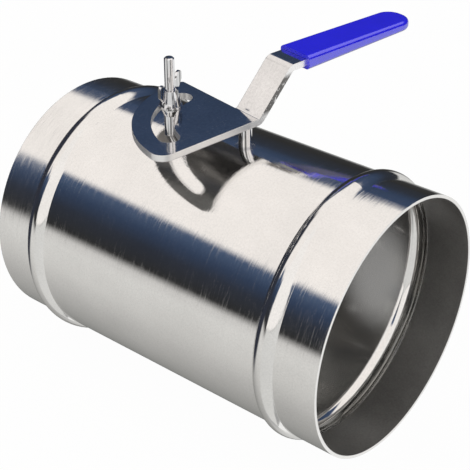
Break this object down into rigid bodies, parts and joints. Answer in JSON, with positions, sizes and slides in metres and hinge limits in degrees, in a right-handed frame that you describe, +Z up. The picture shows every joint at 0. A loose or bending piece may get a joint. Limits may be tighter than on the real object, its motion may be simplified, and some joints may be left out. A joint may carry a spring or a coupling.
{
  "type": "manual duct damper",
  "caption": "Round beaded steel duct section with a turning shut-off blade, a folded lever with an arc slot and blue grip, locked by a wing nut on a stud.",
  "frame": {"origin": "centre of the inlet end of the casing, the end farther from the lever's stud side in the picture", "axes": "+X along the duct's axis to the outlet end, +Z up along the spindle to the lever"},
  "size_m": [0.243, 0.2183, 0.2137],
  "materials": {
    "galvanised_sheet": "bright galvanised sheet, nearly a mirror, with a fine grain",
    "lever_plate": "bright galvanised plate with sheared edges",
    "plated_steel": "bright zinc plating",
    "blue_vinyl": "smooth glossy vinyl",
    "bush_metal": "sintered, dull"
  },
  "bodies": {
    "duct": {"casing": "galvanised_sheet", "upper_bush": "bush_metal", "lower_bush": "bush_metal", "locking_stud": "plated_steel", "stud_saddle": "plated_steel", "stud_spacer": "plated_steel"},
    "damper": {"spindle": "plated_steel", "blade": "galvanised_sheet", "thrust_washer": "plated_steel", "retaining_clip": "plated_steel", "lever_sector": "lever_plate", "grip": "blue_vinyl", "blade_screw_1": "plated_steel", "blade_nut_1": "plated_steel", "blade_screw_2": "plated_steel", "blade_nut_2": "plated_steel", "blade_screw_3": "plated_steel", "blade_nut_3": "plated_steel"},
    "clamp": {"clamp_washer": "plated_steel"},
    "wing_nut": {"wing_nut": "plated_steel"}
  },
  "joints": [
    {"name": "damper_turn", "type": "hinge", "parent": "duct", "child": "damper", "pos_m": [0.1325, 0, 0], "axis": [0, 0, -1], "range_deg": [-15.5, 50]},
    {"name": "nut_lift", "type": "slide", "parent": "duct", "child": "clamp", "axis": [0, 0, 1], "range_m": [0, 0.003]},
    {"name": "nut_turn", "type": "hinge", "parent": "clamp", "child": "wing_nut", "pos_m": [0.08654, -0.01275, 0.1], "axis": [0, 0, 1], "range_deg": [0, 1080]}
  ],
  "couplings": [
    {"joint": "nut_lift", "follows": "nut_turn", "m_per_rad": 0.00015915}
  ]
}
